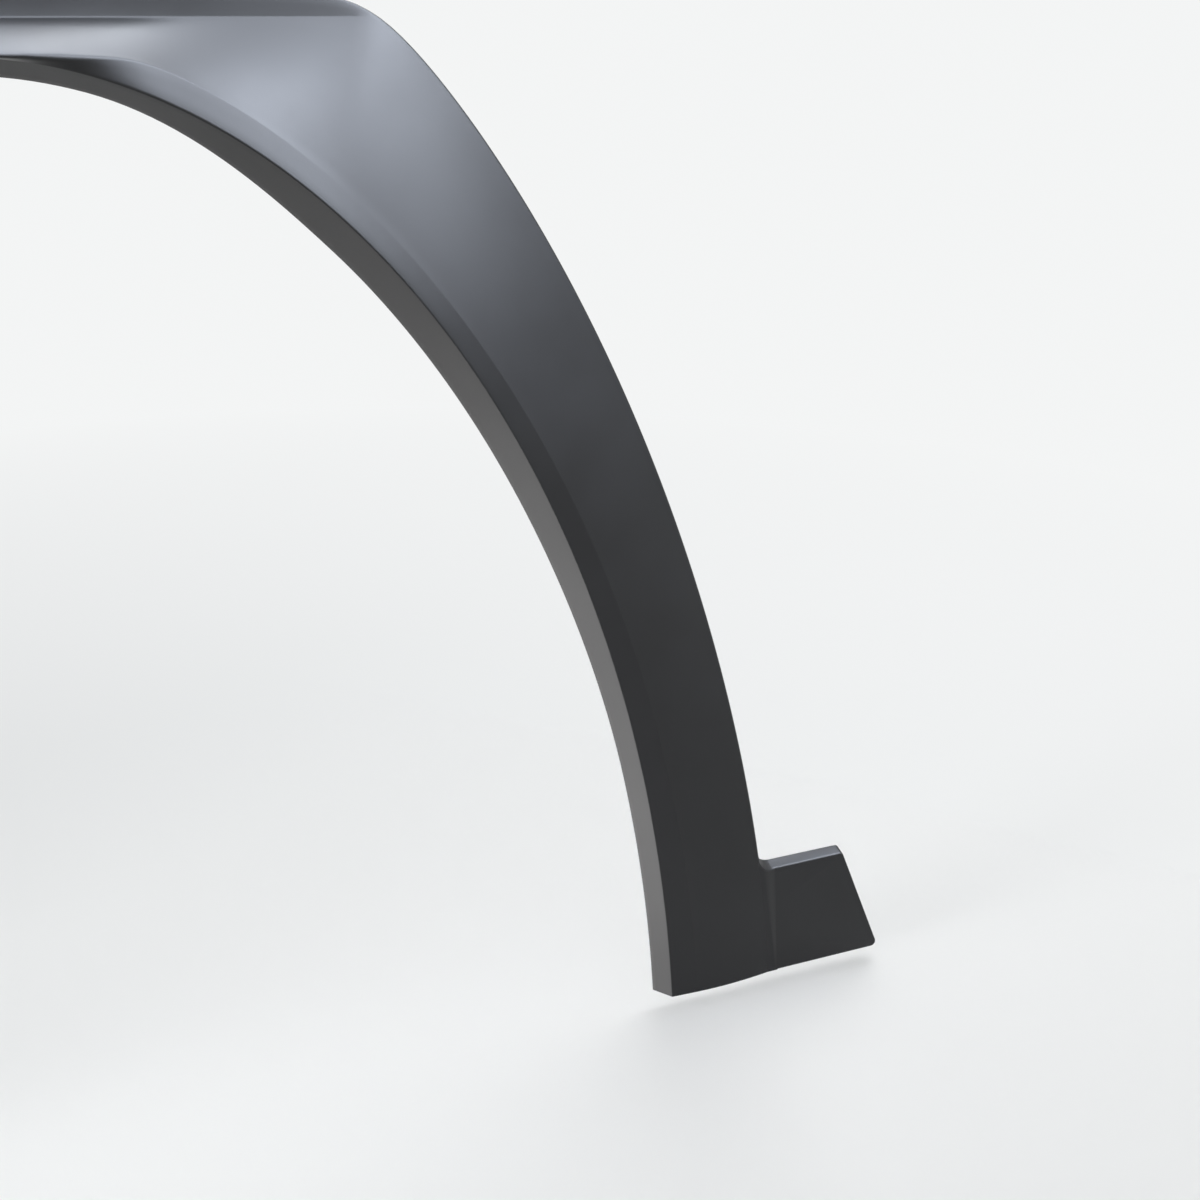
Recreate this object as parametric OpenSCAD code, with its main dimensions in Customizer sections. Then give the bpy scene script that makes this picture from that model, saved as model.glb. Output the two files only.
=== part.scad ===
// Wheel arch trim: one moulded shell with a foot tab, and the push-in clips that hold it to the body side.
// X runs along the vehicle, +Y points into the body, +Z is up. The origin is the top clip's stud,
// where it stands out of its seat. The outer surface looks towards -Y.

/* [Opening] */
// Width of the wheel opening at the height of the arch centre
opening_w = 694; // [600:1:780]
// Height of the wheel opening above the leg ends
opening_h = 575; // [520:1:620]
// Depth of the arch centre below the leg ends
centre_drop = 85; // [60:1:110]
// Fullness of the opening: 2 is an ellipse, more is squarer
opening_fullness = 2.035; // [1.95:0.005:2.3]

/* [Lip] */
// Depth of the lip at the top of the arch
lip_depth_top = 24; // [16:1:32]
// Depth of the lip at the leg ends
lip_depth_leg = 12; // [8:1:14]
// How far the lip draws in towards the wheel along the legs
lip_draft = 9.5; // [6:0.5:12]
// How far the lip draws in towards the wheel below the shoulders
lip_draft_shoulder = 16.5; // [12:0.5:20]
// How far the lip draws in below the top of the opening
lip_draft_top = 8.5; // [5:0.5:12]

/* [Face] */
// Width of the narrow facet between the lip and the main face, beside the opening
facet_w = 18; // [8:1:24]
// How far the main face's lower edge overhangs the lip at the top of the arch
overhang = 7; // [3:0.5:10]
// Width of each leg, from the opening to the outline
leg_w = 72; // [60:1:90]
// Height of the long bend line above the opening
bend_rise = 15; // [11:0.5:20]
// Height of the upright band above the bend line
band_h = 15; // [8:1:25]
// How far the outline lies behind the lip's edge at the top of the arch
set_back_top = 30; // [20:1:40]
// How far the outline lies behind the lip's edge at the leg ends
set_back_leg = 2; // [1:0.5:5]
// Depth of the rim that turns back to the body along the outline
rim_depth = 10; // [8:0.5:16]
// Thickness of the moulded wall
wall = 2.5; // [1.8:0.1:3]

/* [Foot tab] */
// Reach of the foot tab beyond the leg, along its lower edge
foot_reach = 79; // [60:1:110]
// Height of the foot tab's face
foot_h = 75; // [60:1:90]
// Rise of the foot tab's upper rim from its face back to the body
foot_rise = 5.5; // [0:0.5:6]
// How far the end of the foot tab leans in over its height
foot_lean = 29; // [0:1:40]
// Step from the leg's face down to the foot tab's face, at the top of the tab
foot_step = 4.5; // [1.5:0.5:5]
// Corner radius of the foot tab
foot_corner_r = 3; // [2:0.5:10]
// Radius of the hollow corner between the leg and the foot tab
foot_fillet_r = 12; // [3:1:12]

/* [Clips] */
// Places of the clips round the arch, in degrees from the horizontal
clip_angles = [22, 36, 50, 66, 90, 114, 130, 144, 158];
// Places of the stiffening ribs behind the lip, in degrees from the horizontal
rib_angles = [29, 43, 58, 75, 82, 98, 105, 122, 137, 151];
// Diameter of a clip's stud
stud_d = 8; // [6:0.5:9]
// Length of the straight part of a clip's stud
stud_l = 5; // [4:0.5:8]
// Length of the barbed point beyond the straight part
point_l = 7; // [5:0.5:10]
// Diameter of a clip's neck, where it slides into its seat
neck_d = 6; // [5:0.5:7]
// Diameter of a clip's flange
flange_d = 15; // [12:0.5:18]
// Diameter of a clip's head, behind the seat plate
head_d = 11; // [9:0.5:13]
// Width of the moulded seat that holds a clip
seat_w = 18; // [16:0.5:22]
// Thickness of the seat's plate and walls
seat_t = 1.8; // [1.4:0.1:2.4]
// Clearance between a clip and its seat, all round
clip_gap = 0.3; // [0.2:0.05:0.5]

/* [Hidden] */
arch_clips = [for (i = [1:len(clip_angles)]) str("retaining_clip_", i)];

// Sections cut across the trim every so many degrees, from below one leg end to below the other
section_step = 2;
first_angle = 6;

// Radius that rounds the edge between the lip and the face
edge_r = 1.2;
// The blend where a curved guide line meets a straight one
crisp_blend = 5;
broad_blend = 22;
// The bend line's peak, the outline's peak and the facet's peak, above the flat stretches that cut them off
facet_peak = 16;
outline_peak = 134;
facet_fullness = 1.97;
outline_fullness = 1.84;
// Least width of the bevel that the upright band runs out into along the legs
bevel_w = 1.2;
// Least width of the facet where it runs out at the top of the arch
facet_least = 0.4;
// Depth of the facet's outer edge behind the lip's edge: it stands forward along the legs
facet_leg_y = -1;
facet_shoulder_y = 4.5;
// Depth of the upright band over its height
band_lean = 0.1;
// Fullness of the main face at its middle
crown = 1.2;
// Angles between which the outline draws back from the lip's edge
set_back_from = 12;
set_back_to = 80;
// Angles between which the lip's draft widens towards the shoulder
widen_from = 38;
widen_to = 72;
// Angles between which the draft narrows again towards the top
narrow_from = 74;
narrow_to = 85;
// Angle at which the lip reaches its full depth
deepest_at = 90;
// Angles between which the facet draws back from the leg to the shoulder
slope_from = 44;
slope_to = 86;
// Angles between which the facet turns forward again, under the overhang at the top
turn_from = 82;
turn_to = 88;

// Webs behind the lip: thickness, and how far they reach across the face
rib_t = 2;
rib_reach = 0.55;
// Where the fold beside the foot tab starts and ends at its upper end, and where it runs out below
fold_start = 2.5;
fold_w = 12;
fold_low = 6;
fold_least = 1.5;
// Rings of barbs on a clip's point, how much each is slimmer than the last, and how far it stands out
barbs = 3;
barb_step = 0.22;
barb_lip = 0.5;

arch_a = opening_w / 2;
arch_b = opening_h + centre_drop;
clip_flange_t = 1.6;
clip_head_t = 1.5;
// Room between the seat plate's back and the body, for the clip's flange
seat_room = clip_flange_t + clip_gap;

function blend(x, from, to) =
    let (t = min(1, max(0, (x - from) / (to - from)))) t * t * (3 - 2 * t);
function mix(p, q, t) = p + (q - p) * t;
function soft_min(p, q, k) = (p + q - sqrt((p - q) * (p - q) + k * k)) / 2;
function oval(a, b, n, angle) =
    pow(pow(abs(cos(angle)) / a, n) + pow(sin(angle) / b, n), -1 / n);
function level(z, angle) = (z + centre_drop) / sin(angle);
// The two halves of the arch are alike, so an angle is measured up from the nearer leg
function up(angle) = min(angle, 180 - angle);

// Guide lines, as radii from the arch centre at an angle
function lip_front_r(angle) = oval(arch_a, arch_b, opening_fullness, angle);
function draft(angle) = mix(
    mix(lip_draft, lip_draft_shoulder, blend(angle, widen_from, widen_to)),
    lip_draft_top, blend(angle, narrow_from, narrow_to));
function lip_rear_r(angle) = lip_front_r(angle) - draft(angle);
function facet_r(angle) = max(lip_front_r(angle) + facet_least, soft_min(
    oval(arch_a + facet_w, arch_b + facet_peak, facet_fullness, angle),
    level(opening_h + facet_least, angle), crisp_blend));
function outline_r(angle) = soft_min(
    oval(arch_a + leg_w, arch_b + outline_peak, outline_fullness, angle),
    level(opening_h + bend_rise + band_h, angle), broad_blend);
function bend_r(angle) = soft_min(outline_r(angle) - bevel_w, level(opening_h + bend_rise, angle), 1);

// Depths of the guide lines behind the lip's front edge
function lip_depth(angle) = mix(lip_depth_leg, lip_depth_top, blend(up(angle), set_back_from, deepest_at));
function band_w(angle) = outline_r(angle) - bend_r(angle);
function bend_y(angle) = mix(
    set_back_leg - band_lean * bevel_w - bevel_w / 2,
    set_back_top - band_lean * band_w(90) - bevel_w / 2,
    blend(up(angle), set_back_from, set_back_to));
// The band keeps its lean, so the outline comes forward where the band narrows
function outline_y(angle) = bend_y(angle) + band_lean * band_w(angle) + bevel_w / 2;
function rim_y(angle) =
    rim_depth + mix(set_back_leg, set_back_top, blend(up(angle), set_back_from, set_back_to));
function facet_y(angle) = mix(
    mix(facet_leg_y, facet_shoulder_y, blend(up(angle), slope_from, slope_to)),
    -overhang, blend(up(angle), turn_from, turn_to));

// The outer surface's corners at an angle, as [radius, depth], from the lip's rear edge to the rim
function corners(angle) = [
    [lip_rear_r(angle), lip_depth(angle)],
    [lip_front_r(angle), 0],
    [facet_r(angle), facet_y(angle)],
    [bend_r(angle), bend_y(angle)],
    [outline_r(angle), outline_y(angle)],
    [outline_r(angle), rim_y(angle)]];

function unit(v) = v / norm(v);
// The left-hand normal of a line from p to q points into the wall
function inward(p, q) = let (d = unit(q - p)) [-d.y, d.x];
// The corner q moved into the wall, so that both of its sides move by t
function set_in(p, q, r, t) = let (m = inward(p, q), n = inward(q, r)) q + t * (m + n) / (1 + m * n);

// The outer surface, with a rounded edge at the lip and a full main face
function outer_side(c) = let (
    to_lip = unit(c[0] - c[1]),
    to_facet = unit(c[2] - c[1]),
    across = c[3] - c[2],
    out = -inward(c[2], c[3])) [
    c[0],
    c[1] + edge_r * to_lip,
    c[1] + edge_r * (to_lip + to_facet) / 4,
    c[1] + min(edge_r, norm(c[2] - c[1]) / 3) * to_facet,
    c[2],
    c[2] + across / 4 + 0.75 * crown * out,
    c[2] + across / 2 + crown * out,
    c[2] + across * 3 / 4 + 0.75 * crown * out,
    c[3], c[4], c[5]];

// The inner surface, one wall behind the outer one; t sets how far in
function inner_side(c, t) = let (
    rim_in = c[4].x - t,
    low = set_in(c[1], c[2], c[3], t),
    high = set_in(c[2], c[3], c[4], t),
    corner_x = min(high.x, rim_in - 0.5),
    slope = inward(c[2], c[3]),
    corner_y = high.y + (corner_x - high.x) * -slope.x / slope.y) [
    c[0] + t * inward(c[0], c[1]),
    set_in(c[0], c[1], c[2], t),
    low,
    mix(low, [corner_x, corner_y], 0.5) - [0, crown],
    [corner_x, corner_y],
    [rim_in, max(corner_y + 0.3, set_in(c[3], c[4], c[5], t).y)],
    [rim_in, c[5].y]];

function reversed(list) = [for (i = [len(list) - 1:-1:0]) list[i]];
function ring(angle) = let (c = corners(up(angle))) concat(outer_side(c), reversed(inner_side(c, wall)));
// A section's point in space, from the arch centre at the height of the leg ends
function in_space(p, angle) = [p.x * cos(angle), p.y, p.x * sin(angle) - centre_drop];

// A closed solid through rings of points that all have the same count
module loft(rings) {
    n = len(rings[0]);
    last = len(rings) - 1;
    sides = [for (k = [0:last - 1], i = [0:n - 1])
        let (j = (i + 1) % n) each [
            [k * n + j, k * n + i, (k + 1) * n + i],
            [(k + 1) * n + j, k * n + j, (k + 1) * n + i]]];
    first_cap = [for (i = [0:n - 1]) i];
    last_cap = [for (i = [n - 1:-1:0]) last * n + i];
    polyhedron(
        points = [for (r = rings) each r],
        faces = concat([first_cap], sides, [last_cap]),
        convexity = 8);
}

module shell() {
    angles = [for (a = [first_angle:section_step:180 - first_angle]) a];
    loft([for (a = angles) [for (p = ring(a)) in_space(p, a)]]);
}

// Lays a section drawn in [radius, depth] across the trim at an angle, with a thickness along the arch
module across_trim(angle, thickness) {
    translate([0, 0, -centre_drop])
        rotate([0, -angle, 0])
            linear_extrude(thickness, center = true) children();
}

// The room behind the middle of the wall, at an angle
module behind_wall(angle, thickness) {
    c = corners(up(angle));
    front = inner_side(c, wall / 2);
    back = 2 * rim_y(angle);
    across_trim(angle, thickness)
        polygon(concat(front, [[front[6].x, back], [front[0].x, back]]));
}

// A clip's seat: a plate with an open slot on a three-sided box, its back at y = 0, its open side to +X
module seat_box(depth) {
    slot_w = neck_d + 2 * clip_gap;
    difference() {
        translate([-seat_w / 2, -depth, -seat_w / 2]) cube([seat_w, depth, seat_w]);
        translate([seat_t - seat_w / 2, -depth - 1, seat_t - seat_w / 2])
            cube([seat_w, depth + 1 - seat_t, seat_w - 2 * seat_t]);
        translate([0, -depth - 1, 0]) rotate([-90, 0, 0]) cylinder(d = slot_w, h = depth + 2, $fn = 48);
        translate([0, -depth - 1, -slot_w / 2]) cube([seat_w, depth + 2, slot_w]);
    }
}

// Where a clip stands: in the middle of the trim's width, on the body side
function clip_r(angle) = (lip_front_r(up(angle)) + outline_r(up(angle))) / 2;
module at_clip(angle) {
    translate([0, 0, -centre_drop])
        rotate([0, -angle, 0])
            translate([clip_r(angle), rim_y(angle), 0]) children();
}

module arch_seat(angle) {
    intersection() {
        behind_wall(angle, seat_w + 2);
        at_clip(angle) translate([0, -seat_room, 0]) seat_box(rim_y(angle) + overhang);
    }
}

// A thin web that braces the lip against the back of the face
module rib(angle) {
    c = corners(up(angle));
    far_x = mix(c[1].x, c[4].x, rib_reach);
    intersection() {
        behind_wall(angle, rib_t);
        across_trim(angle, rib_t + 1) polygon([
            [c[0].x, c[0].y - rib_t],
            [c[0].x, -2 * overhang],
            [far_x, -2 * overhang],
            [far_x, max(c[2].y, c[3].y) + wall + rib_t]]);
    }
}

// Half width of a guide line at the height of the leg ends
function end_x(a, b, n) = a * pow(1 - pow(centre_drop / b, n), 1 / n);
end_lip_x = end_x(arch_a, arch_b, opening_fullness);
end_rear_x = end_lip_x - lip_draft;
end_outline_x = end_x(arch_a + leg_w, arch_b + outline_peak, outline_fullness);
end_y = set_back_leg + rim_depth;

// The plate that closes a leg's lower end
module leg_end() {
    linear_extrude(wall) polygon([
        [end_rear_x + wall / 2, lip_depth_leg - wall / 4],
        [end_lip_x + wall / 2, wall / 2],
        [end_outline_x - wall, set_back_leg + wall / 2],
        [end_outline_x - wall, end_y - wall / 4]]);
}

// The leg's outline where the foot tab's upper edge meets it
foot_angle = atan2(foot_h + centre_drop, end_outline_x - foot_fillet_r);
foot_root_x = outline_r(foot_angle) * cos(foot_angle);
foot_end_x = arch_a + leg_w + foot_reach;
foot_face_y = set_back_leg - bevel_w / 2;
foot_tilt = atan(foot_step / foot_h);
// Height of the upper side where it meets the set-back face
foot_front_h = foot_h + foot_rise * foot_step / (end_y - foot_face_y);

// Where the leg's outline is at a height near the foot tab's upper side
function outline_x(z) =
    let (angle = atan2(z + centre_drop, foot_root_x))
    outline_r(angle) * cos(angle);

// The foot tab's outline, from the middle of the leg's rim to the slanted end, at a height
module foot_outline(h) {
    offset(r = foot_corner_r) offset(delta = -foot_corner_r) polygon([
        [end_outline_x - wall / 2, 0],
        [foot_end_x, 0],
        [foot_end_x - foot_lean * h / foot_h, h],
        [foot_root_x - wall / 2, h]]);
    translate([end_outline_x - wall / 2, 0]) square([2 * foot_corner_r, foot_corner_r * 2]);
}

// The room in front of the foot tab's face, set back by a distance
module before_foot(y) {
    translate([0, foot_face_y + y, 0])
        rotate([-foot_tilt, 0, 0])
            translate([arch_a, -5 * wall, -foot_h]) cube([2 * foot_reach + leg_w, 5 * wall, 3 * foot_h]);
}

// The foot tab as a block, drawn in by an inset; its upper side rises from the face to the body
module foot_block(inset) {
    back = end_y + (inset > 0 ? 1 : 0);
    difference() {
        hull() {
            translate([0, foot_face_y, 0]) rotate([90, 0, 0])
                linear_extrude(wall) offset(delta = -inset) foot_outline(foot_front_h);
            translate([0, back, 0]) rotate([90, 0, 0])
                linear_extrude(0.1) offset(delta = -inset) foot_outline(foot_h + foot_rise);
        }
        before_foot(inset);
    }
}

// The hollow corner between the leg's rim and the foot tab's upper side
module foot_fillet() {
    r = foot_fillet_r;
    h = (foot_front_h + foot_h + foot_rise) / 2;
    x = outline_x(h + r);
    translate([0, end_y, 0]) rotate([90, 0, 0]) linear_extrude(end_y - foot_face_y - foot_step) difference() {
        polygon([
            [x - wall / 2, h - wall],
            [x + r, h - wall],
            [x + r, h],
            [x - wall / 2, h + r]]);
        translate([x + r, h + r]) circle(r, $fn = 48);
    }
}

// The fold that eases the leg's face down to the foot tab's face: flush below, a slope above
module foot_fold() {
    loft([
        fold_row(0, end_outline_x, fold_low - fold_least, fold_low, foot_face_y, foot_face_y),
        fold_row(foot_h, foot_root_x, fold_start, fold_w, bend_y(foot_angle), foot_face_y + foot_step)]);
}

// A row across the fold at a height: the leg's face, the fold's start and end beside it, then its back
function fold_row(z, leg_x, start, end, leg_y, tab_y) = [
    [leg_x - wall / 2, leg_y, z],
    [leg_x + start, leg_y, z],
    [leg_x + end, tab_y, z],
    [leg_x + end, tab_y + wall / 2, z],
    [leg_x - wall / 2, tab_y + wall / 2, z]];

foot_clip_x = (end_outline_x + foot_end_x - foot_lean / 2) / 2;
foot_clip_z = foot_h / 2;
module at_foot_clip() {
    translate([foot_clip_x, end_y, foot_clip_z]) children();
}

module foot_tab() {
    difference() {
        foot_block(0);
        foot_block(wall);
    }
    foot_fold();
    foot_fillet();
    at_foot_clip() translate([0, -seat_room, 0])
        seat_box(end_y - seat_room - foot_face_y - foot_step / 2 - wall / 2);
}

// The origin is the top clip's stud
module placed() {
    translate([0, -rim_y(90), centre_drop - clip_r(90)]) children();
}

module arch_moulding() {
    color([0.22, 0.22, 0.24]) placed() {
        difference() {
            shell();
            translate([-foot_end_x, -foot_h, -2 * foot_h]) cube([2 * foot_end_x, 3 * foot_h, 2 * foot_h]);
        }
        for (angle = clip_angles) arch_seat(angle);
        for (angle = rib_angles) rib(angle);
        leg_end();
        mirror([1, 0, 0]) leg_end();
        foot_tab();
    }
}

// A push-in clip turned about its stud, which points along +Y, with its flange's back at y = 0
module clip() {
    neck_from = -clip_flange_t - seat_t - 2 * clip_gap;
    head_from = neck_from - clip_head_t;
    barb_l = point_l / barbs;
    color([0.30, 0.30, 0.31]) rotate([-90, 0, 0]) rotate_extrude($fn = 64) polygon(concat([
        [0, head_from],
        [head_d / 2, head_from],
        [head_d / 2, neck_from],
        [neck_d / 2, neck_from],
        [neck_d / 2, -clip_flange_t],
        [flange_d / 2, -clip_flange_t],
        [flange_d / 2, 0],
        [stud_d / 2, 0],
        [stud_d / 2, stud_l]],
        [for (i = [0:barbs - 1]) each [
            [stud_d / 2 * (1 - barb_step * i) + (i > 0 ? barb_lip : 0), stud_l + i * barb_l],
            [stud_d / 2 * (1 - barb_step * (i + 1)), stud_l + (i + 1) * barb_l]]],
        [[0, stud_l + point_l]]));
}

module retaining_clip(i) {
    placed() at_clip(clip_angles[i]) clip();
}

module foot_clip() {
    placed() at_foot_clip() clip();
}

arch_moulding();
for (i = [0:len(clip_angles) - 1])
    retaining_clip(i);
foot_clip();
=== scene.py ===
import math

import bmesh
import bpy
from mathutils import Matrix, Vector


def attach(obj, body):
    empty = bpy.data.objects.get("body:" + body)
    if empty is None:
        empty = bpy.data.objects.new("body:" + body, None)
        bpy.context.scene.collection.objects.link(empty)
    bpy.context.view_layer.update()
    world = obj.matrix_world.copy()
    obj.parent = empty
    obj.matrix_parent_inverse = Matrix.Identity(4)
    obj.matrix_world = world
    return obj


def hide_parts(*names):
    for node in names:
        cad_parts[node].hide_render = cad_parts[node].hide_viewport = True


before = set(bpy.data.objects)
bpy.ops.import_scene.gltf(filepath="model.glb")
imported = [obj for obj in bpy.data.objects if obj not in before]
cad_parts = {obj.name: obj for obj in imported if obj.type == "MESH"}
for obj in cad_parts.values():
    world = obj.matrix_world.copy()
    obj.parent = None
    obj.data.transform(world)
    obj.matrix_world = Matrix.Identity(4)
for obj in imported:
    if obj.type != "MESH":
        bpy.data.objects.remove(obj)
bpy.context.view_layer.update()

# Sizes, as in the part's source
OPENING_W = 0.694
OPENING_H = 0.575
CENTRE_DROP = 0.085
OPENING_FULLNESS = 2.035
LIP_DEPTH_TOP = 0.024
LIP_DEPTH_LEG = 0.012
LIP_DRAFT = 0.0095
LIP_DRAFT_SHOULDER = 0.0165
LIP_DRAFT_TOP = 0.0085
FACET_W = 0.018
OVERHANG = 0.007
LEG_W = 0.072
BEND_RISE = 0.015
BAND_H = 0.015
SET_BACK_TOP = 0.030
SET_BACK_LEG = 0.002
RIM_DEPTH = 0.010
WALL = 0.0025
FOOT_REACH = 0.079
FOOT_H = 0.075
FOOT_RISE = 0.0055
FOOT_LEAN = 0.029
FOOT_STEP = 0.0045
FOOT_FILLET_R = 0.012
CLIP_ANGLES = (22, 36, 50, 66, 90, 114, 130, 144, 158)
RIB_ANGLES = (29, 43, 58, 75, 82, 98, 105, 122, 137, 151)
NECK_D = 0.006
SEAT_W = 0.018
SEAT_T = 0.0018
CLIP_GAP = 0.0003
CLIP_FLANGE_T = 0.0016
CRISP_BLEND = 0.005
BROAD_BLEND = 0.022
FACET_PEAK = 0.016
OUTLINE_PEAK = 0.134
FACET_FULLNESS = 1.97
OUTLINE_FULLNESS = 1.84
BEVEL_W = 0.0012
FACET_LEAST = 0.0004
FACET_LEG_Y = -0.0010
FACET_SHOULDER_Y = 0.0045
BAND_LEAN = 0.10
CROWN = 0.0012
SET_BACK_FROM, SET_BACK_TO = 12, 80
WIDEN_FROM, WIDEN_TO = 38, 72
NARROW_FROM, NARROW_TO = 74, 85
SLOPE_FROM, SLOPE_TO = 44, 86
DEEPEST_AT = 90
TURN_FROM, TURN_TO = 82, 88
RIB_T = 0.002
RIB_REACH = 0.55
FOLD_W = 0.012
FOLD_START = 0.0025
FOLD_LOW = 0.006
FOLD_LEAST = 0.0015
ARCH_A = OPENING_W / 2
ARCH_B = OPENING_H + CENTRE_DROP
SEAT_ROOM = CLIP_FLANGE_T + CLIP_GAP

# Finer shape of the moulding: the step between rings, the edges' radii, and points and steps along curves
RING_STEP = 0.5
FIRST_ANGLE = 6
LIP_REAR_R = 0.0006
LIP_EDGE_R = 0.0013
FACET_EDGE_R = 0.0022
BEND_EDGE_R = 0.0010
OUTLINE_EDGE_R = 0.0012
FOOT_EDGE_R = 0.0009
LEAST_R = 0.0004
BEND_BLEND = 0.001
FACE_POINTS = 12
SLOT_STEPS = 24
FILLET_STEPS = 16
FOLD_ROWS = 20
FOLD_COLUMNS = 14
FOLD_TOP_ROWS = 9
FOLD_TOP_TURN = 72
EDGE_STEPS = 3
CUP_EDGE_STEPS = 4
INNER_POINTS = 6
CORNER_STEPS = 6

# The turn from which an edge is kept crisp, and the distance within which points are joined
CREASE = 32
WELD = 1e-6

# A little more than the source's radius, which keeps the rounded end of the tab inside the solid
FOOT_CORNER_R = 0.0034
# How much of the fold's slope eases in and out, where 0 is straight
FOLD_SOFT = 0.35

# The most of a side that a rounded corner takes, and the half angle from which a corner counts as straight
SIDE_SHARE = 0.45
STRAIGHT = 88

# How far solids reach into each other or past what they cut, and how far surfaces lie under others
OVERLAP = 0.001
SINK = 0.0004
RECESS = 0.0001
LEAST_W = 0.0003
SEAM_W = 0.0005
CUT_REACH = 0.2


def share(x, start, end):
    """How far x has come from start to end, as 0 to 1."""
    return min(1.0, max(0.0, (x - start) / (end - start)))


def blend(x, start, end):
    """The same, easing in and out."""
    t = share(x, start, end)
    return t * t * (3 - 2 * t)


def mix(p, q, t):
    return p + (q - p) * t


def soft_min(p, q, k):
    return (p + q - math.hypot(p - q, k)) / 2


def oval(a, b, n, angle):
    f = math.radians(angle)
    return ((math.cos(f) / a) ** n + (math.sin(f) / b) ** n) ** (-1 / n)


def level(z, angle):
    return (z + CENTRE_DROP) / math.sin(math.radians(angle))


def up(angle):
    """The two halves of the arch are alike, so an angle is measured up from the nearer leg."""
    return min(angle, 180 - angle)


def lip_front_r(angle):
    return oval(ARCH_A, ARCH_B, OPENING_FULLNESS, angle)


def lip_rear_r(angle):
    draft = mix(LIP_DRAFT, LIP_DRAFT_SHOULDER, blend(angle, WIDEN_FROM, WIDEN_TO))
    return lip_front_r(angle) - mix(draft, LIP_DRAFT_TOP, blend(angle, NARROW_FROM, NARROW_TO))


def facet_r(angle):
    free = oval(ARCH_A + FACET_W, ARCH_B + FACET_PEAK, FACET_FULLNESS, angle)
    cut = soft_min(free, level(OPENING_H + FACET_LEAST, angle), CRISP_BLEND)
    return max(lip_front_r(angle) + FACET_LEAST, cut)


def outline_r(angle):
    free = oval(ARCH_A + LEG_W, ARCH_B + OUTLINE_PEAK, OUTLINE_FULLNESS, angle)
    return soft_min(free, level(OPENING_H + BEND_RISE + BAND_H, angle), BROAD_BLEND)


def bend_r(angle):
    return soft_min(outline_r(angle) - BEVEL_W, level(OPENING_H + BEND_RISE, angle), BEND_BLEND)


def lip_depth(angle):
    return mix(LIP_DEPTH_LEG, LIP_DEPTH_TOP, blend(angle, SET_BACK_FROM, DEEPEST_AT))


def band_w(angle):
    return outline_r(angle) - bend_r(angle)


def bend_y(angle):
    at_leg = SET_BACK_LEG - BAND_LEAN * BEVEL_W - BEVEL_W / 2
    at_top = SET_BACK_TOP - BAND_LEAN * band_w(90) - BEVEL_W / 2
    return mix(at_leg, at_top, blend(angle, SET_BACK_FROM, SET_BACK_TO))


def outline_y(angle):
    """The band keeps its lean, so the outline comes forward where the band narrows."""
    return bend_y(angle) + BAND_LEAN * band_w(angle) + BEVEL_W / 2


def rim_y(angle):
    return mix(SET_BACK_LEG, SET_BACK_TOP, blend(angle, SET_BACK_FROM, SET_BACK_TO)) + RIM_DEPTH


def facet_y(angle):
    sloped = mix(FACET_LEG_Y, FACET_SHOULDER_Y, blend(angle, SLOPE_FROM, SLOPE_TO))
    return mix(sloped, -OVERHANG, blend(angle, TURN_FROM, TURN_TO))


def clip_r(angle):
    return (lip_front_r(angle) + outline_r(angle)) / 2


def corners(angle):
    """The outer surface's corners, from the lip's rear edge to the rim."""
    return [
        Vector((lip_rear_r(angle), lip_depth(angle))),
        Vector((lip_front_r(angle), 0)),
        Vector((facet_r(angle), facet_y(angle))),
        Vector((bend_r(angle), bend_y(angle))),
        Vector((outline_r(angle), outline_y(angle))),
        Vector((outline_r(angle), rim_y(angle))),
    ]


# Places in the part's frame
ORIGIN = Vector((0, rim_y(90), clip_r(90) - CENTRE_DROP))
LEG_END_Z = -ORIGIN.z


def place(x, y, z):
    """A point measured from the arch centre's foot at the height of the leg ends."""
    return Vector((x, y, z)) - ORIGIN


def in_space(p, angle):
    f = math.radians(angle)
    return place(p[0] * math.cos(f), p[1], p[0] * math.sin(f) - CENTRE_DROP)


# Section curves
def arc_corner(a, b, c, radius, steps):
    """Points that round the corner b between a and c; the tangents stay within the sides."""
    u, v = a - b, c - b
    lu, lv = u.length, v.length
    u, v = u / lu, v / lv
    half = math.acos(max(-1.0, min(1.0, u.dot(v)))) / 2
    tangent = min(radius / math.tan(half), SIDE_SHARE * lu, SIDE_SHARE * lv)
    radius = tangent * math.tan(half)
    if half > math.radians(STRAIGHT):
        reach = [1 - 2 * k / steps for k in range(steps + 1)]
        return [b + u * tangent * f if f >= 0 else b + v * tangent * -f for f in reach]
    centre = b + (u + v).normalized() * (radius / math.sin(half))
    first, last = b + u * tangent - centre, b + v * tangent - centre
    sweep = first.angle_signed(last)
    return [centre + Matrix.Rotation(-sweep * k / steps, 2) @ first for k in range(steps + 1)]


def along(p, q, count, bow=0.0):
    """Points between p and q, without them, bowed out to the right-hand side of the line."""
    side = Vector(((q - p).y, -(q - p).x)).normalized()
    out = []
    for k in range(1, count + 1):
        t = k / (count + 1)
        out.append(p + (q - p) * t + side * (4 * bow * t * (1 - t)))
    return out


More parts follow.
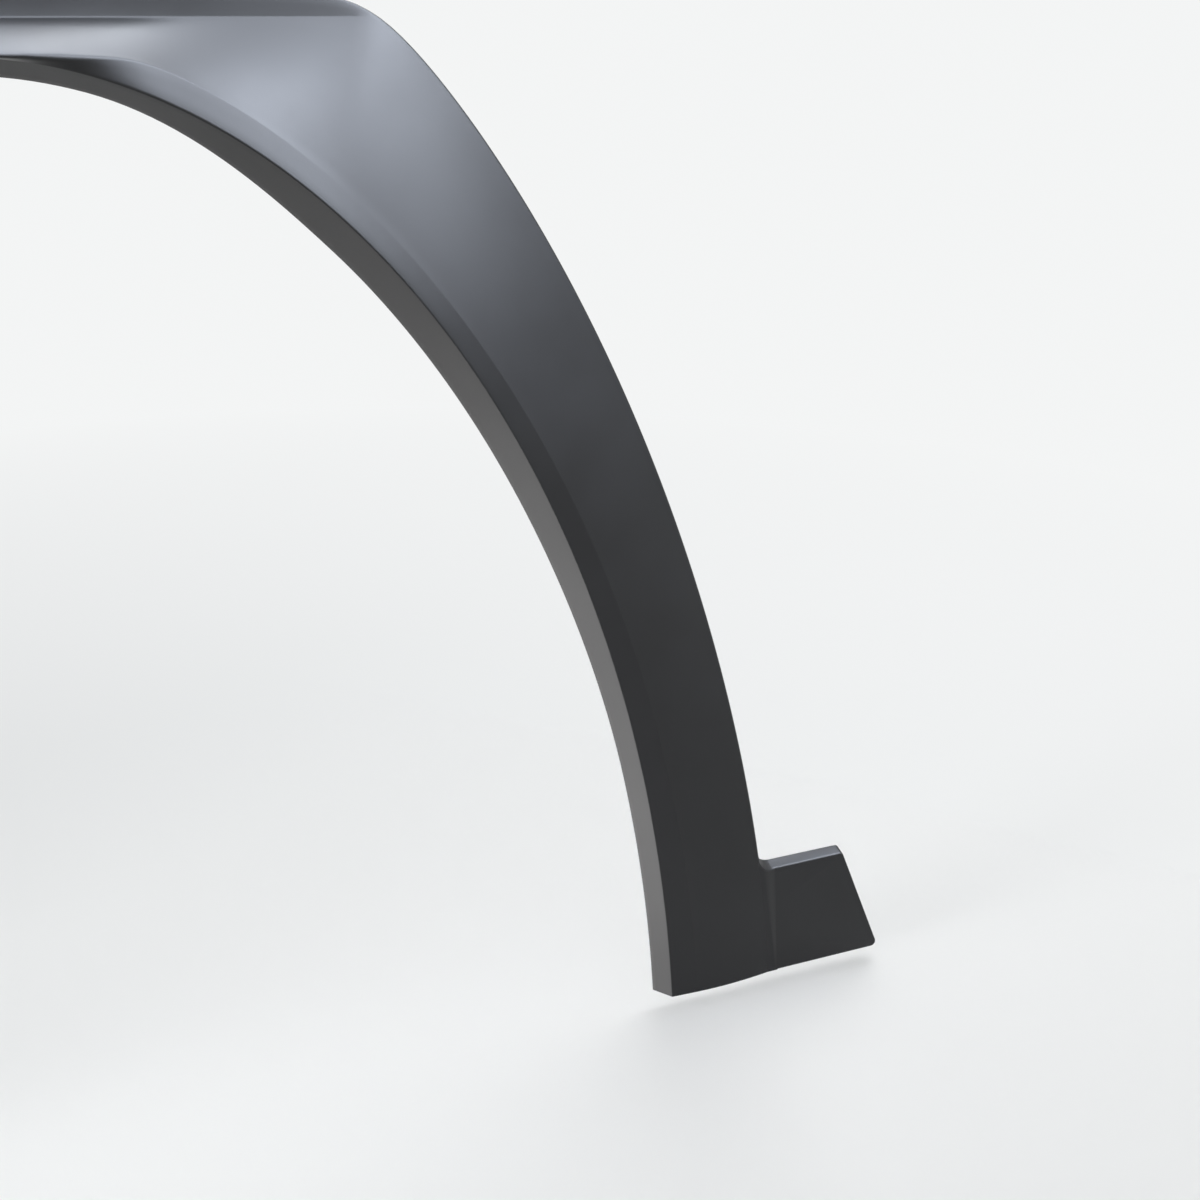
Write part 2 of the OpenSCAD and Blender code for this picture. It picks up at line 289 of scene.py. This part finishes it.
def outer_side(angle):
    c = corners(angle)
    rear_in = c[0] + (c[5] - c[0]).normalized() * WALL
    lip_rear = arc_corner(rear_in, c[0], c[1], LIP_REAR_R, 2)
    lip_edge = arc_corner(c[0], c[1], c[2], LIP_EDGE_R, CORNER_STEPS)
    facet_edge = arc_corner(c[1], c[2], c[3], FACET_EDGE_R, 4)
    bend_edge = arc_corner(c[2], c[3], c[4], BEND_EDGE_R, 4)
    outline_edge = arc_corner(c[3], c[4], c[5], OUTLINE_EDGE_R, 5)
    return (lip_rear[1:] + along(lip_rear[-1], lip_edge[0], 4)
            + lip_edge + along(lip_edge[-1], facet_edge[0], 2)
            + facet_edge + along(facet_edge[-1], bend_edge[0], FACE_POINTS, CROWN)
            + bend_edge + along(bend_edge[-1], outline_edge[0], 1)
            + outline_edge + along(outline_edge[-1], c[5], 2) + [c[5]])


def inward(p, q):
    d = (q - p).normalized()
    return Vector((-d.y, d.x))


def set_in(p, q, r, t):
    m, n = inward(p, q), inward(q, r)
    return q + (m + n) * (t / (1 + m.dot(n)))


def inner_corners(angle, t):
    """The inner surface, t behind the outer one, from the lip's rear edge to the rim."""
    c = corners(angle)
    rim_in = c[4].x - t
    low = set_in(c[1], c[2], c[3], t)
    high = set_in(c[2], c[3], c[4], t)
    slope = inward(c[2], c[3])
    corner_x = min(high.x, rim_in - SEAM_W)
    corner = Vector((corner_x, high.y + (corner_x - high.x) * -slope.x / slope.y))
    turn_y = max(corner.y + LEAST_W, set_in(c[3], c[4], c[5], t).y)
    return [c[0] + inward(c[0], c[1]) * t, set_in(c[0], c[1], c[2], t), low, corner,
            Vector((rim_in, turn_y)), Vector((rim_in, c[5].y))]


def inner_side(angle, t):
    i = inner_corners(angle, t)
    return [i[0]] + along(i[0], i[1], 2) + [i[1], i[2]] + along(i[2], i[3], INNER_POINTS, CROWN) + i[3:]


# Mesh helpers
def mesh_object(name, bm):
    bmesh.ops.recalc_face_normals(bm, faces=bm.faces)
    mesh = bpy.data.meshes.new(name)
    bm.to_mesh(mesh)
    bm.free()
    obj = bpy.data.objects.new(name, mesh)
    bpy.context.collection.objects.link(obj)
    return obj


def add_loft(bm, rings):
    """A closed solid through rings of equal length."""
    rows = [[bm.verts.new(p) for p in ring] for ring in rings]
    n = len(rows[0])
    for low, high in zip(rows, rows[1:]):
        for i in range(n):
            j = (i + 1) % n
            bm.faces.new((low[i], low[j], high[j], high[i]))
    bm.faces.new(rows[0][::-1])
    bm.faces.new(rows[-1])


def loft(name, rings):
    bm = bmesh.new()
    add_loft(bm, rings)
    return mesh_object(name, bm)


def boolean(obj, operation, other):
    """Changes obj by other, which is used up."""
    mod = obj.modifiers.new("cut", "BOOLEAN")
    mod.operation = operation
    mod.solver = "MANIFOLD"
    mod.object = other
    graph = bpy.context.evaluated_depsgraph_get()
    mesh = bpy.data.meshes.new_from_object(obj.evaluated_get(graph))
    obj.modifiers.clear()
    old = obj.data
    obj.data = mesh
    bpy.data.meshes.remove(old)
    bpy.data.objects.remove(other)
    return obj


def polygon_rings(points, y0, y1):
    return [[Vector((x, y, z)) for x, z in points] for y in (y0, y1)]


def box_rings(x0, x1, y0, y1, z0, z1):
    return polygon_rings([(x0, z0), (x1, z0), (x1, z1), (x0, z1)], y0, y1)


def moved(rings, matrix):
    return [[matrix @ p for p in ring] for ring in rings]


def lofts(name, ring_sets):
    bm = bmesh.new()
    for rings in ring_sets:
        add_loft(bm, rings)
    return mesh_object(name, bm)


# The moulded shell
def ring_angles():
    count = round((180 - 2 * FIRST_ANGLE) / RING_STEP)
    return [FIRST_ANGLE + RING_STEP * k for k in range(count + 1)]


def shell():
    rings = []
    for angle in ring_angles():
        section = outer_side(up(angle)) + inner_side(up(angle), WALL)[::-1]
        rings.append([in_space(p, angle) for p in section])
    return loft("shell", rings)


def below_ends():
    reach = ARCH_A + LEG_W + FOOT_REACH
    rings = box_rings(-reach, reach, -CUT_REACH, CUT_REACH, LEG_END_Z - CUT_REACH, LEG_END_Z)
    return loft("below_ends", rings)


def behind_wall():
    """The room behind the middle of the wall, all round the arch."""
    rings = []
    for angle in ring_angles():
        front = inner_side(up(angle), WALL / 2)
        back = 2 * rim_y(90)
        section = front + [Vector((front[-1].x, back)), Vector((front[0].x, back))]
        rings.append([in_space(p, angle) for p in section])
    return loft("behind_wall", rings)


# Seats and ribs behind the face
def at_angle(angle, r, y):
    """From a place on the arch, with local X outwards from the arch centre, into the part's frame."""
    f = math.radians(angle)
    turn = Matrix.Rotation(-f, 4, "Y")
    return Matrix.Translation(in_space((r, y), angle)) @ turn


def seat_parts(depth, back):
    """The box, pocket and slot of a clip's seat whose back is at local y = back."""
    half = SEAT_W / 2
    slot = NECK_D / 2 + CLIP_GAP
    front = back - depth
    past = half + 2 * OVERLAP
    outer = box_rings(-half, half, front, back, -half, half)
    pocket = box_rings(SEAT_T - half, past, front - OVERLAP, back - SEAT_T, SEAT_T - half, half - SEAT_T)
    turns = [math.radians(90 + 180 * k / SLOT_STEPS) for k in range(SLOT_STEPS + 1)]
    arc = [(slot * math.cos(a), slot * math.sin(a)) for a in turns]
    channel = polygon_rings(arc + [(past, -slot), (past, slot)], front - 2 * OVERLAP, back + OVERLAP)
    return outer, pocket, channel


def arch_seats():
    outers, pockets, channels = [], [], []
    for angle in CLIP_ANGLES:
        a = up(angle)
        matrix = at_angle(angle, clip_r(a), rim_y(a))
        parts = seat_parts(rim_y(a) + OVERHANG, -SEAT_ROOM)
        for group, rings in zip((outers, pockets, channels), parts):
            group.append(moved(rings, matrix))
    seats = boolean(lofts("seats", outers), "DIFFERENCE", lofts("pockets", pockets))
    return boolean(seats, "DIFFERENCE", lofts("channels", channels))


def ribs():
    """Thin webs that brace the lip against the back of the face."""
    solids = []
    for angle in RIB_ANGLES:
        c = corners(up(angle))
        far_x = mix(c[1].x, c[4].x, RIB_REACH)
        section = [(c[0].x, c[0].y - RIB_T), (c[0].x, -2 * OVERHANG), (far_x, -2 * OVERHANG),
                   (far_x, max(c[2].y, c[3].y) + WALL + RIB_T)]
        side = Matrix.Rotation(-math.radians(angle), 4, "Y") @ Vector((0, 0, RIB_T / 2))
        solids.append([[in_space(p, angle) + side * s for p in section] for s in (-1, 1)])
    return lofts("ribs", solids)


# Leg ends and foot tab
def end_x(a, b, n):
    return a * (1 - (CENTRE_DROP / b) ** n) ** (1 / n)


END_LIP_X = end_x(ARCH_A, ARCH_B, OPENING_FULLNESS)
END_OUTLINE_X = end_x(ARCH_A + LEG_W, ARCH_B + OUTLINE_PEAK, OUTLINE_FULLNESS)
END_Y = SET_BACK_LEG + RIM_DEPTH
FOOT_ANGLE = math.degrees(math.atan2(FOOT_H + CENTRE_DROP, END_OUTLINE_X - FOOT_FILLET_R))
FOOT_ROOT_X = outline_r(FOOT_ANGLE) * math.cos(math.radians(FOOT_ANGLE))
FOOT_END_X = ARCH_A + LEG_W + FOOT_REACH
FOOT_FACE_Y = SET_BACK_LEG - BEVEL_W / 2
FOOT_SLOPE = FOOT_STEP / FOOT_H
FOOT_FRONT_H = FOOT_H + FOOT_RISE * FOOT_STEP / (END_Y - FOOT_FACE_Y)


def leg_end(side):
    outline = [
        (END_LIP_X - LIP_DRAFT + WALL / 2, LIP_DEPTH_LEG - WALL / 4),
        (END_LIP_X + WALL / 2, WALL / 2),
        (END_OUTLINE_X - WALL, SET_BACK_LEG + WALL / 2),
        (END_OUTLINE_X - WALL, END_Y - WALL / 4),
    ]
    return [[place(side * x, y, z) for x, y in outline] for z in (0.0, WALL)]


def foot_outline(height, inset):
    """The tab's outline as (x, z), drawn in by an inset, with its right corners rounded."""
    left = END_OUTLINE_X - WALL / 2 + inset
    left_top = FOOT_ROOT_X - WALL / 2 + inset
    lean = FOOT_LEAN / FOOT_H
    slant = inset * math.hypot(1, lean)
    low, high = inset, height - inset

    def end(z):
        return FOOT_END_X - slant - lean * z

    points = [Vector(p) for p in ((left, low), (end(low), low), (end(high), high), (left_top, high))]
    radius = max(FOOT_CORNER_R - inset, LEAST_R)
    return ([points[0]] + arc_corner(points[0], points[1], points[2], radius, CORNER_STEPS)
            + arc_corner(points[1], points[2], points[3], radius, CORNER_STEPS) + [points[3]])


def face_y(z, back=0.0):
    return FOOT_FACE_Y + back + FOOT_SLOPE * z


def foot_cup():
    """The tab as one closed skin: outside from the body to the face, then the hollow behind it."""
    def at_face(inset, back):
        height = FOOT_H + FOOT_RISE * (FOOT_STEP + back) / (END_Y - FOOT_FACE_Y)
        return [place(p.x, face_y(p.y, back), p.y) for p in foot_outline(height, inset)]

    def at_back(inset):
        return [place(p.x, END_Y, p.y) for p in foot_outline(FOOT_H + FOOT_RISE, inset)]

    turns = [math.radians(90 * k / CUP_EDGE_STEPS) for k in range(CUP_EDGE_STEPS + 1)]
    edge = [at_face(FOOT_EDGE_R * (1 - math.sin(a)), FOOT_EDGE_R * (1 - math.cos(a))) for a in turns[::-1]]
    return [at_face(WALL, WALL), at_back(WALL), at_back(0)] + edge


def outline_x(z):
    """Where the leg's outline is at a height near the tab's upper side."""
    angle = math.degrees(math.atan2(z + CENTRE_DROP, FOOT_ROOT_X))
    return outline_r(angle) * math.cos(math.radians(angle))


def leg_edge(z):
    """The edge of the leg's face at a height, as (x, y)."""
    angle = math.degrees(math.atan2(z + CENTRE_DROP, mix(END_OUTLINE_X, FOOT_ROOT_X, z / FOOT_H)))
    return bend_r(angle) * math.cos(math.radians(angle)), bend_y(angle)


def fold_ends(z):
    """Where the fold starts beside the leg and where it ends on the tab, at a height."""
    t = z / FOOT_H
    return (mix(END_OUTLINE_X + FOLD_LOW - FOLD_LEAST, FOOT_ROOT_X + FOLD_START, t),
            mix(END_OUTLINE_X + FOLD_LOW, FOOT_ROOT_X + FOLD_W, t))


def fold_y(x, z):
    """The depth of the fold's surface, from the leg's face down to the tab's face."""
    start, end = fold_ends(z)
    down = mix(share(x, start, end), blend(x, start, end), FOLD_SOFT)
    return mix(leg_edge(z)[1], face_y(z), down)


def foot_fillet():
    """The hollow corner between the leg's rim and the tab's upper side, as far as the end of the fold."""
    r = FOOT_FILLET_R
    far_x = FOOT_ROOT_X + FOLD_W
    near_x = FOOT_ROOT_X - WALL

    def outline(height, grow):
        """The lower side, then the upper side with its arc, as (x, z)."""
        root_x = outline_x(height + r)
        turns = [math.radians(180 + 90 * k / FILLET_STEPS) for k in range(FILLET_STEPS + 1)]
        wide = r + grow
        arc = [(root_x + r + wide * math.cos(a), height + r + wide * math.sin(a)) for a in turns]
        line = [(mix(far_x, arc[-1][0], k / 4), height - grow) for k in range(4)]
        low = [(near_x, height - WALL), (far_x, height - WALL)]
        return low, line + arc[::-1] + [(near_x, arc[0][1])]

    rings = []
    for k in range(EDGE_STEPS + 1):
        a = math.radians(90 * k / EDGE_STEPS)
        back = FOOT_EDGE_R * (1 - math.sin(a))
        low, high = outline(FOOT_FRONT_H, FOOT_EDGE_R * (1 - math.cos(a)))
        rings.append([place(x, fold_y(x, z) + back + WALL, z) for x, z in low]
                     + [place(x, fold_y(x, z) + back + RECESS, z) for x, z in high])
    rings = rings[::-1]
    low, high = outline(FOOT_H + FOOT_RISE, 0.0)
    rings.append([place(x, END_Y, z) for x, z in low + high])
    return rings


def fold_right(z):
    """Where the fold's surface ends on the right: on the tab, or above it at the hollow corner."""
    above = z - FOOT_FRONT_H + FOOT_EDGE_R
    if above <= 0:
        return fold_ends(z)[1]
    r, top = FOOT_FILLET_R, FOOT_FRONT_H + FOOT_FILLET_R
    hollow = outline_x(top) + r - math.sqrt((r + FOOT_EDGE_R) ** 2 - (top - z) ** 2)
    return max(min(fold_ends(z)[1], hollow), leg_edge(z)[0] + LEAST_W)


def foot_fold():
    """The fold that eases the leg's face down to the tab's face: flush below, a slope above."""
    low = FOOT_FRONT_H - FOOT_EDGE_R
    heights = [low * k / FOLD_ROWS for k in range(FOLD_ROWS + 1)]
    turns = [math.radians(FOLD_TOP_TURN * k / FOLD_TOP_ROWS) for k in range(1, FOLD_TOP_ROWS + 1)]
    heights += [low + (FOOT_FILLET_R + FOOT_EDGE_R) * (1 - math.cos(a)) for a in turns]
    rings = []
    for z in heights:
        leg_x, leg_y = leg_edge(z)
        right = fold_right(z)
        across = [mix(leg_x, right, k / FOLD_COLUMNS) for k in range(FOLD_COLUMNS + 1)]
        side_x = right + (2 * SINK if z <= low else 0)
        side_y = fold_y(right, z) + SINK
        section = [(leg_x - OVERLAP, leg_y + SINK)] + [(x, fold_y(x, z)) for x in across]
        section += [(side_x, side_y), (side_x, side_y + WALL / 2), (leg_x - OVERLAP, side_y + WALL / 2)]
        rings.append([place(x, y, z) for x, y in section])
    return rings


FOOT_CLIP_X = (END_OUTLINE_X + FOOT_END_X - FOOT_LEAN / 2) / 2
FOOT_CLIP_Z = FOOT_H / 2


def foot_seat():
    depth = END_Y - SEAT_ROOM - FOOT_FACE_Y - FOOT_STEP / 2 - WALL / 2
    matrix = Matrix.Translation(place(FOOT_CLIP_X, END_Y, FOOT_CLIP_Z))
    outer, pocket, channel = (moved(rings, matrix) for rings in seat_parts(depth, -SEAT_ROOM))
    seat = boolean(loft("foot_seat", outer), "DIFFERENCE", loft("foot_pocket", pocket))
    return boolean(seat, "DIFFERENCE", loft("foot_channel", channel))


# Assembly of the moulding
def moulding():
    inside = boolean(arch_seats(), "UNION", ribs())
    inside = boolean(inside, "INTERSECT", behind_wall())
    body = boolean(shell(), "DIFFERENCE", below_ends())
    body = boolean(body, "UNION", inside)
    for rings in (leg_end(1), leg_end(-1), foot_cup(), foot_fold(), foot_fillet()):
        body = boolean(body, "UNION", loft("end_piece", rings))
    return boolean(body, "UNION", foot_seat())


def shade_smooth(obj, limit):
    """Smooth shading, with the edges that turn by more than limit kept crisp."""
    bm = bmesh.new()
    bm.from_mesh(obj.data)
    bmesh.ops.remove_doubles(bm, verts=bm.verts, dist=WELD)
    bmesh.ops.dissolve_degenerate(bm, edges=bm.edges, dist=WELD)
    bmesh.ops.triangulate(bm, faces=[f for f in bm.faces if len(f.verts) > 4])
    for face in bm.faces:
        face.smooth = True
    for edge in bm.edges:
        edge.smooth = not edge.is_manifold or edge.calc_face_angle(0.0) < math.radians(limit)
    bm.to_mesh(obj.data)
    bm.free()


trim = moulding()
trim.name = "moulding"
shade_smooth(trim, CREASE)
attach(trim, "root")
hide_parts("arch_moulding")


# Materials
# How far the rounded normal follows the true one where an edge counts as flat and as sharp
EDGE_FLAT, EDGE_SHARP = 0.995, 0.90


class Shader:
    """A material's node tree, built one node at a time."""

    def __init__(self, name):
        self.material = bpy.data.materials.new(name)
        self.material.use_nodes = True
        self.tree = self.material.node_tree
        self.surface = self.tree.nodes["Principled BSDF"]
        self.place = self.add("ShaderNodeTexCoord").outputs["Object"]

    def add(self, kind, **values):
        node = self.tree.nodes.new(kind)
        for name, value in values.items():
            if hasattr(node, name):
                setattr(node, name, value)
            else:
                node.inputs[name.replace("_", " ")].default_value = value
        return node

    def link(self, source, target):
        self.tree.links.new(source, target)

    def noise(self, scale, detail=3.0, roughness=0.5):
        node = self.add("ShaderNodeTexNoise", Scale=scale, Detail=detail, Roughness=roughness)
        self.link(self.place, node.inputs["Vector"])
        return node.outputs["Fac"]

    def spread(self, source, low, high, from_low=0.3, from_high=0.7):
        """Source, a noise about 0.5, spread over low to high."""
        node = self.add("ShaderNodeMapRange")
        limits = {"From Min": from_low, "From Max": from_high, "To Min": low, "To Max": high}
        for name, value in limits.items():
            node.inputs[name].default_value = value
        self.link(source, node.inputs["Value"])
        return node.outputs["Result"]

    def math(self, operation, a, b):
        node = self.add("ShaderNodeMath", operation=operation)
        for socket, value in zip(node.inputs, (a, b)):
            if isinstance(value, (int, float)):
                socket.default_value = value
            else:
                self.link(value, socket)
        return node.outputs["Value"]

    def mix(self, factor, a, b):
        node = self.add("ShaderNodeMix", data_type="RGBA")
        for socket, value in ((node.inputs[0], factor), (node.inputs[6], a), (node.inputs[7], b)):
            if isinstance(value, (int, float, tuple)):
                socket.default_value = value
            else:
                self.link(value, socket)
        return node.outputs[2]

    def edges(self, radius):
        """About 0 on flat places, rising to 1 on rounded and sharp edges."""
        bevel = self.add("ShaderNodeBevel", samples=4)
        bevel.inputs["Radius"].default_value = radius
        geometry = self.add("ShaderNodeNewGeometry")
        dot = self.add("ShaderNodeVectorMath", operation="DOT_PRODUCT")
        self.link(bevel.outputs["Normal"], dot.inputs[0])
        self.link(geometry.outputs["True Normal"], dot.inputs[1])
        wear_and_highlight = self.spread(dot.outputs["Value"], 0.0, 1.0, EDGE_FLAT, EDGE_SHARP)
        return wear_and_highlight, bevel.outputs["Normal"]

    def bump(self, height, distance, strength, normal=None):
        node = self.add("ShaderNodeBump")
        node.inputs["Strength"].default_value = strength
        node.inputs["Distance"].default_value = distance
        self.link(height, node.inputs["Height"])
        if normal is not None:
            self.link(normal, node.inputs["Normal"])
        return node.outputs["Normal"]


# Noise scales, per metre, of the colour's drift, the sheen's drift, the rubbing and painted highlight along
# edges, and the waves
DRIFT_SCALE = 7.0
SHEEN_SCALE = 23.0
RUB_AND_HIGHLIGHT_SCALE = 90.0
WAVE_SCALE = 260.0
# How far the colour and the roughness vary either way, and how much smoother a rubbed edge is
DRIFT = 0.08
SHEEN_DRIFT = 0.025
GRAIN_DRIFT = 0.03
RUB_SMOOTHER = 0.08
# Least and most rubbing and painted highlight along an edge, and the width that counts as an edge
RUB_AND_HIGHLIGHT_LEAST, RUB_AND_HIGHLIGHT_MOST = 0.15, 0.6
EDGE_W = 0.0008
# Height and strength of the surface's waves and of its grain
WAVE_H, WAVE_STRENGTH = 0.0002, 0.05
GRAIN_H, GRAIN_STRENGTH = 0.00006, 0.35


def plastic(name, base, edge, rough, grain, ior):
    """Moulded plastic: fine grain, slight colour drift, edges rubbed smoother and painted paler, partly as
    wear and partly as a painted highlight on the rounded edges.
    """
    s = Shader(name)
    s.surface.inputs["IOR"].default_value = ior
    wear_and_highlight, rounded = s.edges(EDGE_W)
    drift = s.spread(s.noise(DRIFT_SCALE, 4.0), 0.0, 1.0)
    fine = s.noise(grain, 2.0, 0.6)
    dark = tuple(v * (1 - DRIFT) for v in base) + (1.0,)
    light = tuple(v * (1 + DRIFT) for v in base) + (1.0,)
    colour = s.mix(drift, dark, light)
    # The edges' paler colour is partly rubbing and partly a painted highlight where the rounded edges catch
    # the light
    rub_and_highlight = s.math("MULTIPLY", wear_and_highlight, s.spread(s.noise(RUB_AND_HIGHLIGHT_SCALE, 3.0), RUB_AND_HIGHLIGHT_LEAST, RUB_AND_HIGHLIGHT_MOST))
    colour = s.mix(rub_and_highlight, colour, tuple(edge) + (1.0,))
    s.link(colour, s.surface.inputs["Base Color"])
    level = s.spread(s.noise(SHEEN_SCALE, 4.0), rough - SHEEN_DRIFT, rough + SHEEN_DRIFT)
    level = s.math("ADD", level, s.spread(fine, -GRAIN_DRIFT, GRAIN_DRIFT))
    level = s.math("SUBTRACT", level, s.math("MULTIPLY", rub_and_highlight, RUB_SMOOTHER))
    s.link(level, s.surface.inputs["Roughness"])
    waves = s.bump(s.noise(WAVE_SCALE, 2.0), WAVE_H, WAVE_STRENGTH, rounded)
    s.link(s.bump(fine, GRAIN_H, GRAIN_STRENGTH, waves), s.surface.inputs["Normal"])
    return s.material


# Each edge colour is paler than its base, partly as wear and partly as a painted highlight on rounded edges
FACE_BASE = (0.0040, 0.0038, 0.0046)
FACE_WORN_HIGHLIGHT = (0.030, 0.030, 0.032)
# The lip's base is much paler than the face's: partly its rougher stipple, partly painted light standing in
# for the light that falls on the down-turned lip
LIP_LIT_BASE = (0.053, 0.052, 0.052)
LIP_WORN_HIGHLIGHT = (0.13, 0.13, 0.13)
CLIP_BASE = (0.075, 0.075, 0.077)
CLIP_WORN_HIGHLIGHT = (0.12, 0.12, 0.12)
satin_face = plastic("satin_face", FACE_BASE, FACE_WORN_HIGHLIGHT, rough=0.38, grain=2600.0, ior=1.41)
stippled_lip_lit = plastic("stippled_lip_lit", LIP_LIT_BASE, LIP_WORN_HIGHLIGHT, rough=0.60, grain=2000.0, ior=1.25)
clip_nylon = plastic("clip_nylon", CLIP_BASE, CLIP_WORN_HIGHLIGHT, rough=0.55, grain=1800.0, ior=1.5)
trim.data.materials.clear()
trim.data.materials.append(satin_face)
trim.data.materials.append(stippled_lip_lit)
# The lip's polygons take the paler lip material, whose colour is partly painted light
for polygon in trim.data.polygons:
    spot = polygon.center + ORIGIN
    angle = math.degrees(math.atan2(spot.z + CENTRE_DROP, spot.x))
    radius = math.hypot(spot.x, spot.z + CENTRE_DROP)
    polygon.material_index = int(radius < lip_front_r(up(angle)) - RECESS)
for name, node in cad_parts.items():
    if name != "arch_moulding":
        node.data.materials.clear()
        node.data.materials.append(clip_nylon)

# Floor
FLOOR_GAP = 0.011
FLOOR_SIZE = 300
FLOOR_PALE = (0.845, 0.855, 0.855, 1.0)
FLOOR_WHITE = (0.87, 0.88, 0.88, 1.0)
FAR_WHITE = (0.90, 0.91, 0.91, 1.0)
# Distances between which the floor fades into the white backdrop, and how far it has faded at each
FADE_FROM, FADE_TO = 0.5, 1.6
FADE_NEAR, FADE_FAR = 0.45, 1.0
bpy.ops.mesh.primitive_plane_add(size=FLOOR_SIZE, location=(0, 0, LEG_END_Z - FLOOR_GAP))
floor = bpy.context.object
floor.name = "floor"
ground = Shader("pale_floor")
patches = ground.spread(ground.noise(1.3, 2.0), 0.0, 1.0, 0.2, 0.8)
ground.link(ground.mix(patches, FLOOR_PALE, FLOOR_WHITE), ground.surface.inputs["Base Color"])
ground.link(ground.spread(ground.noise(3.0, 2.0), 0.29, 0.33, 0.2, 0.8), ground.surface.inputs["Roughness"])
glow = ground.add("ShaderNodeEmission")
glow.inputs["Color"].default_value = FAR_WHITE
distance = ground.add("ShaderNodeVectorMath", operation="LENGTH")
ground.link(ground.place, distance.inputs[0])
far = ground.spread(distance.outputs["Value"], FADE_NEAR, FADE_FAR, FADE_FROM, FADE_TO)
path = ground.add("ShaderNodeLightPath")
seen = ground.math("MAXIMUM", path.outputs["Is Camera Ray"], path.outputs["Is Glossy Ray"])
seen = ground.math("MAXIMUM", seen, path.outputs["Is Transmission Ray"])
blend_in = ground.add("ShaderNodeMixShader")
ground.link(ground.math("MULTIPLY", far, seen), blend_in.inputs[0])
ground.link(ground.surface.outputs[0], blend_in.inputs[1])
ground.link(glow.outputs[0], blend_in.inputs[2])
ground.link(blend_in.outputs[0], ground.tree.nodes["Material Output"].inputs["Surface"])
ground.surface.inputs["Specular IOR Level"].default_value = 0.0
floor.data.materials.append(ground.material)


# Light
def softbox(name, at, towards, size, level, colour=(1, 1, 1), spread=180, turn=0, gloss_only=False):
    """A soft lamp whose face has the given brightness, where 1 is a white surface's in full light."""
    width, height = size
    data = bpy.data.lights.new(name, "AREA")
    data.shape = "RECTANGLE"
    data.size, data.size_y = width, height
    data.energy = level * math.pi * width * height
    data.color = colour
    data.spread = math.radians(spread)
    lamp = bpy.data.objects.new(name, data)
    lamp.location = at
    aim = (Vector(towards) - Vector(at)).to_track_quat("-Z", "Y").to_matrix()
    lamp.rotation_euler = (aim @ Matrix.Rotation(math.radians(turn), 3, "Z")).to_euler()
    lamp.visible_camera = False
    lamp.visible_diffuse = not gloss_only
    bpy.context.collection.objects.link(lamp)


COOL = (0.80, 0.87, 1.0)
LAMP_H = 1.50


def reflector(name, x, y, size, level, turn):
    """A lamp flat above the trim that only its glossy highlights show."""
    softbox(name, (x, y, LAMP_H), (x, y, 0.00), size, level, COOL, turn=turn, gloss_only=True)


reflector("overhead", -0.39, -0.81, (2.29, 3.95), 9.0, -18)
reflector("shoulder", 1.77, -1.47, (2.61, 2.12), 15.0, 1)
softbox("front", (1.10, -1.04, 0.50), (0.25, -0.02, -0.10), (0.61, 0.54), 5.7, COOL, gloss_only=True)
softbox("wall", (0.54, -0.51, 0.21), (0.36, -0.02, -0.20), (0.36, 0.53), 9.9, COOL, gloss_only=True)
softbox("ceiling", (1.0, 0.9, LAMP_H), (0.35, 0.1, -0.4), (1.8, 1.4), 4.2)
softbox("side", (-0.95, -0.35, -0.54), (0.33, -0.02, -0.55), (0.50, 0.50), 5.7, spread=42)

# Room
ROOM_TONE = (0.33, 0.34, 0.35, 1.0)
world = bpy.data.worlds.new("room")
world.use_nodes = True
bpy.context.scene.world = world
room = world.node_tree
room_path = room.nodes.new("ShaderNodeLightPath")
seen_white = room.nodes.new("ShaderNodeMath")
seen_white.operation = "MAXIMUM"
room.links.new(room_path.outputs["Is Camera Ray"], seen_white.inputs[0])
room.links.new(room_path.outputs["Is Glossy Ray"], seen_white.inputs[1])
seen_clear = room.nodes.new("ShaderNodeMath")
seen_clear.operation = "MAXIMUM"
room.links.new(seen_white.outputs[0], seen_clear.inputs[0])
room.links.new(room_path.outputs["Is Transmission Ray"], seen_clear.inputs[1])
tone = room.nodes.new("ShaderNodeMix")
tone.data_type = "RGBA"
tone.inputs[6].default_value = ROOM_TONE
tone.inputs[7].default_value = FAR_WHITE
room.links.new(seen_clear.outputs[0], tone.inputs[0])
room.links.new(tone.outputs[2], room.nodes["Background"].inputs["Color"])

# Camera
EYE = (0.02457, -0.70238, 0.59665)
PITCH_DOWN = 22.45
HEADING_RIGHT = 21
LENS = 43.5
SENSOR_W = 36
camera_data = bpy.data.cameras.new("camera")
camera_data.lens = LENS
camera_data.sensor_width = SENSOR_W
camera = bpy.data.objects.new("camera", camera_data)
camera.location = place(*EYE)
camera.rotation_euler = (math.radians(90 - PITCH_DOWN), 0, math.radians(-HEADING_RIGHT))
bpy.context.collection.objects.link(camera)
bpy.context.scene.camera = camera

bpy.context.scene.view_settings.view_transform = "Standard"
